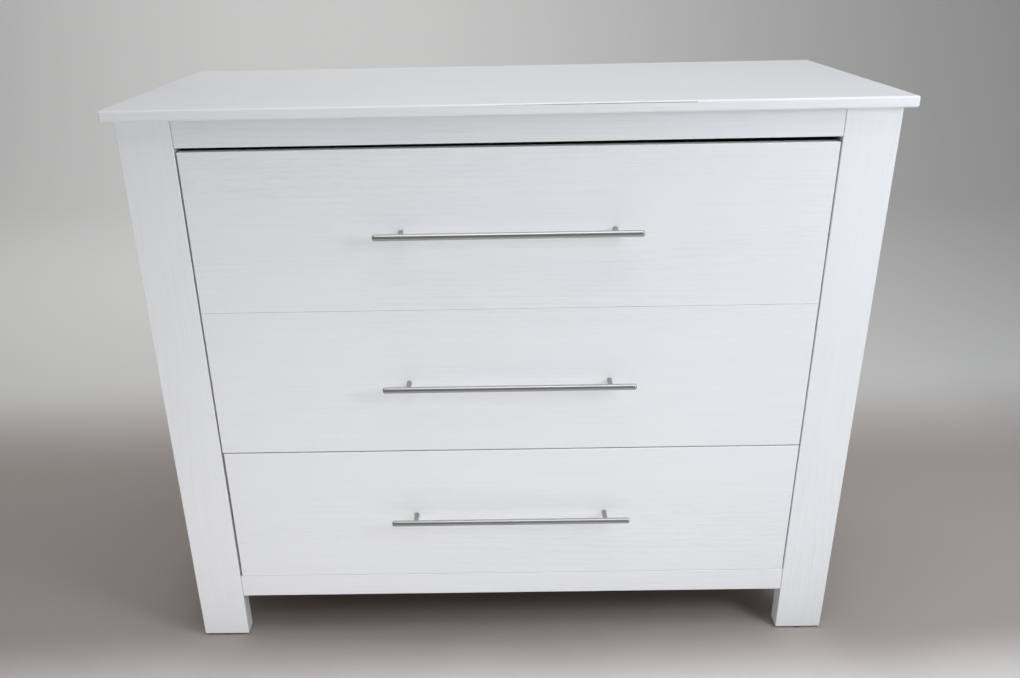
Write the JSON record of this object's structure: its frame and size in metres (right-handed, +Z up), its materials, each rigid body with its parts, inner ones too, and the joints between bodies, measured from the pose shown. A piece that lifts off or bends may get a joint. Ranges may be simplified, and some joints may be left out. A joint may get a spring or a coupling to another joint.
{
  "type": "chest of drawers",
  "caption": "White painted pine changing chest with a flat top and full-width drawers with steel bar handles.",
  "frame": {"origin": "on the floor, under the centre of the chest's bounding box, handles included", "axes": "+X to the user's right as they face the drawers, -Y the way the drawers open, +Z up"},
  "size_m": [1.15, 0.533, 0.93],
  "materials": {
    "painted_pine": "white satin paint over pine, the grain showing through",
    "raw_pine": "planed, unpainted",
    "drawer_pine": "planed, clear lacquer",
    "hardboard": "white-faced hardboard",
    "brushed_steel": "fine brushed along the bar",
    "coated_steel": "white epoxy coat",
    "nylon": "moulded, natural",
    "zinc": "bright zinc plate",
    "glide_plastic": "moulded, dark"
  },
  "bodies": {
    "carcass": {"top_board": "painted_pine", "front_post_left": "painted_pine", "front_post_right": "painted_pine", "rear_post_left": "painted_pine", "rear_post_right": "painted_pine", "top_front_rail": "painted_pine", "bottom_front_rail": "painted_pine", "top_rear_rail": "painted_pine", "bottom_rear_rail": "painted_pine", "side_panel_left": "painted_pine", "side_panel_right": "painted_pine", "back_panel": "hardboard", "runner_battens_left": "raw_pine", "runner_battens_right": "raw_pine", "carcass_cam_locks": "zinc", "top_brackets": "zinc", "top_bracket_screws": "zinc", "runner_screws": "zinc", "foot_glides": "glide_plastic", "cabinet_runners_1": "coated_steel", "cabinet_runners_2": "coated_steel", "cabinet_runners_3": "coated_steel"},
    "drawer_1": {"drawer_1_front": "painted_pine", "drawer_1_side_left": "drawer_pine", "drawer_1_side_right": "drawer_pine", "drawer_1_back": "drawer_pine", "drawer_1_bottom": "hardboard", "drawer_1_runners": "coated_steel", "drawer_1_cam_locks": "zinc", "drawer_1_handle_bar": "brushed_steel", "drawer_1_handle_stems": "brushed_steel", "drawer_1_handle_bolts": "zinc"},
    "cabinet_rollers_1": {"cabinet_rollers_1": "nylon"},
    "drawer_1_rollers": {"drawer_1_rollers": "nylon"},
    "drawer_2": {"drawer_2_front": "painted_pine", "drawer_2_side_left": "drawer_pine", "drawer_2_side_right": "drawer_pine", "drawer_2_back": "drawer_pine", "drawer_2_bottom": "hardboard", "drawer_2_runners": "coated_steel", "drawer_2_cam_locks": "zinc", "drawer_2_handle_bar": "brushed_steel", "drawer_2_handle_stems": "brushed_steel", "drawer_2_handle_bolts": "zinc"},
    "cabinet_rollers_2": {"cabinet_rollers_2": "nylon"},
    "drawer_2_rollers": {"drawer_2_rollers": "nylon"},
    "drawer_3": {"drawer_3_front": "painted_pine", "drawer_3_side_left": "drawer_pine", "drawer_3_side_right": "drawer_pine", "drawer_3_back": "drawer_pine", "drawer_3_bottom": "hardboard", "drawer_3_runners": "coated_steel", "drawer_3_cam_locks": "zinc", "drawer_3_handle_bar": "brushed_steel", "drawer_3_handle_stems": "brushed_steel", "drawer_3_handle_bolts": "zinc"},
    "cabinet_rollers_3": {"cabinet_rollers_3": "nylon"},
    "drawer_3_rollers": {"drawer_3_rollers": "nylon"}
  },
  "joints": [
    {"name": "drawer_1_slide", "type": "slide", "parent": "carcass", "child": "drawer_1", "axis": [0, -1, 0], "range_m": [0, 0.31]},
    {"name": "cabinet_rollers_1_spin", "type": "hinge", "parent": "carcass", "child": "cabinet_rollers_1", "pos_m": [0, -0.1995, 0.6492], "axis": [1, 0, 0], "range_deg": [0, 2100]},
    {"name": "drawer_1_rollers_spin", "type": "hinge", "parent": "drawer_1", "child": "drawer_1_rollers", "pos_m": [0, 0.175, 0.6465], "axis": [1, 0, 0], "range_deg": [0, 2200]},
    {"name": "drawer_2_slide", "type": "slide", "parent": "carcass", "child": "drawer_2", "axis": [0, -1, 0], "range_m": [0, 0.31]},
    {"name": "cabinet_rollers_2_spin", "type": "hinge", "parent": "carcass", "child": "cabinet_rollers_2", "pos_m": [0, -0.1995, 0.4033], "axis": [1, 0, 0], "range_deg": [0, 2100]},
    {"name": "drawer_2_rollers_spin", "type": "hinge", "parent": "drawer_2", "child": "drawer_2_rollers", "pos_m": [0, 0.175, 0.4006], "axis": [1, 0, 0], "range_deg": [0, 2200]},
    {"name": "drawer_3_slide", "type": "slide", "parent": "carcass", "child": "drawer_3", "axis": [0, -1, 0], "range_m": [0, 0.31]},
    {"name": "cabinet_rollers_3_spin", "type": "hinge", "parent": "carcass", "child": "cabinet_rollers_3", "pos_m": [0, -0.1995, 0.1563], "axis": [1, 0, 0], "range_deg": [0, 2100]},
    {"name": "drawer_3_rollers_spin", "type": "hinge", "parent": "drawer_3", "child": "drawer_3_rollers", "pos_m": [0, 0.175, 0.1536], "axis": [1, 0, 0], "range_deg": [0, 2200]}
  ],
  "couplings": [
    {"joint": "cabinet_rollers_1_spin", "follows": "drawer_1_slide", "rad_per_m": 111.11},
    {"joint": "drawer_1_rollers_spin", "follows": "drawer_1_slide", "rad_per_m": 117.65},
    {"joint": "cabinet_rollers_2_spin", "follows": "drawer_2_slide", "rad_per_m": 111.11},
    {"joint": "drawer_2_rollers_spin", "follows": "drawer_2_slide", "rad_per_m": 117.65},
    {"joint": "cabinet_rollers_3_spin", "follows": "drawer_3_slide", "rad_per_m": 111.11},
    {"joint": "drawer_3_rollers_spin", "follows": "drawer_3_slide", "rad_per_m": 117.65}
  ]
}
